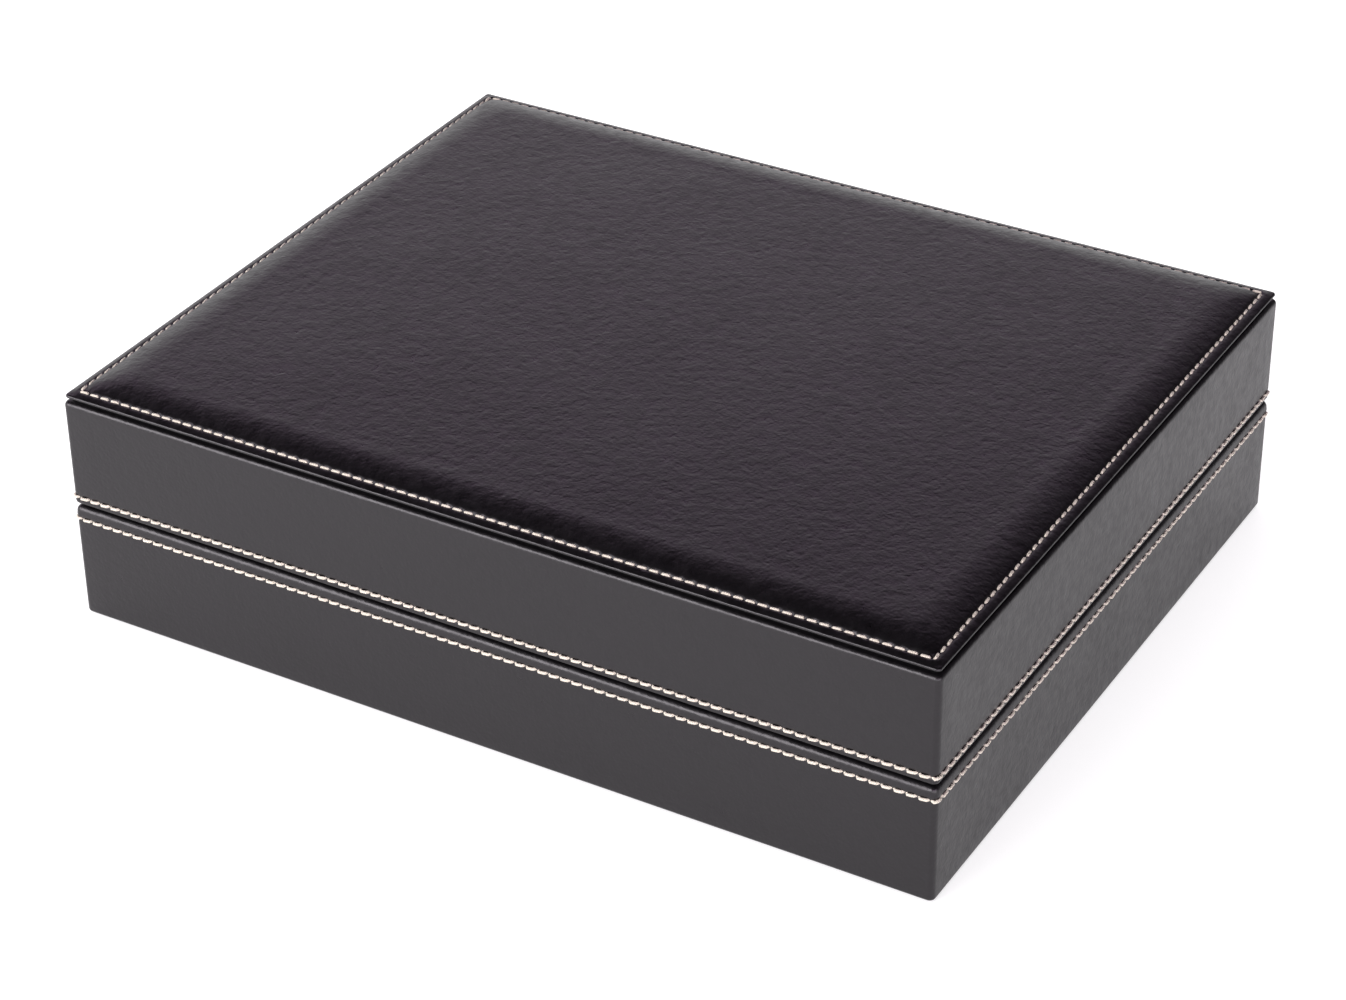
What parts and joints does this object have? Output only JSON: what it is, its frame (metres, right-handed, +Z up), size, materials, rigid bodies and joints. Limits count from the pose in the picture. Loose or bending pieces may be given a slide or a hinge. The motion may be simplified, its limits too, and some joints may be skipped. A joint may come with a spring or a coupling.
{
  "type": "coin case",
  "caption": "Leatherette-covered box with a deep hinged lid, a padded and stitched cover plate, velvet lining and a stack of lift-out coin trays.",
  "frame": {"origin": "centre of the case's underside, where it stands on a table; the hinges behind don't count", "axes": "+X along the long front to the right, +Y from the front to the hinges at the back, +Z up"},
  "size_m": [0.305, 0.2497, 0.0848],
  "materials": {
    "case_board": "raw fibreboard",
    "leatherette": "fine-grained black leatherette with a soft satin sheen",
    "black_card": "matt black card",
    "foam": "open foam",
    "underside_felt": "pressed felt",
    "magnet_steel": "nickel-plated",
    "hinge_brass": "polished brass plate",
    "tray_flock": "wine red flock",
    "velvet_lining": "black velvet",
    "stitch_thread": "twisted ivory thread"
  },
  "bodies": {
    "base": {"base_front_board": "case_board", "base_rear_board": "case_board", "base_left_board": "case_board", "base_right_board": "case_board", "base_floor_board": "case_board", "base_wrap": "leatherette", "base_underside_sheet": "underside_felt", "base_liner_front": "velvet_lining", "base_liner_rear": "velvet_lining", "base_liner_left": "velvet_lining", "base_liner_right": "velvet_lining", "base_floor_lining": "velvet_lining", "base_magnets": "magnet_steel", "hinge_left_base_leaf": "hinge_brass", "hinge_right_base_leaf": "hinge_brass", "hinge_left_pin": "hinge_brass", "hinge_right_pin": "hinge_brass"},
    "lid": {"lid_front_board": "case_board", "lid_rear_board": "case_board", "lid_left_board": "case_board", "lid_right_board": "case_board", "lid_top_board": "case_board", "lid_wrap": "leatherette", "lid_liner_front": "velvet_lining", "lid_liner_rear": "velvet_lining", "lid_liner_left": "velvet_lining", "lid_liner_right": "velvet_lining", "lid_ceiling_cushion": "velvet_lining", "lid_magnets": "magnet_steel", "cover_spacer": "black_card", "cover_board": "black_card", "cover_foam": "foam", "cover_leather": "leatherette", "hinge_left_lid_leaf": "hinge_brass", "hinge_right_lid_leaf": "hinge_brass"},
    "tray_1": {"tray_1": "tray_flock"},
    "tray_2": {"tray_2": "tray_flock"},
    "tray_3": {"tray_3": "tray_flock"},
    "tray_4": {"tray_4": "tray_flock"}
  },
  "joints": [
    {"name": "lid_hinge", "type": "hinge", "parent": "base", "child": "lid", "pos_m": [0, 0.1237, 0.04165], "axis": [-1, 0, 0], "range_deg": [0, 95]},
    {"name": "tray_1_lift", "type": "slide", "parent": "base", "child": "tray_1", "axis": [0, 0, 1], "range_m": [0, 0.014]},
    {"name": "tray_2_lift", "type": "slide", "parent": "base", "child": "tray_2", "axis": [0, 0, 1], "range_m": [0, 0.028]},
    {"name": "tray_3_lift", "type": "slide", "parent": "base", "child": "tray_3", "axis": [0, 0, 1], "range_m": [0, 0.042]},
    {"name": "tray_4_lift", "type": "slide", "parent": "base", "child": "tray_4", "axis": [0, 0, 1], "range_m": [0, 0.056]}
  ],
  "couplings": [
    {"joint": "tray_1_lift", "follows": "lid_hinge", "m_per_rad": 0.00844},
    {"joint": "tray_2_lift", "follows": "lid_hinge", "m_per_rad": 0.01688},
    {"joint": "tray_3_lift", "follows": "lid_hinge", "m_per_rad": 0.02532},
    {"joint": "tray_4_lift", "follows": "lid_hinge", "m_per_rad": 0.03376}
  ]
}
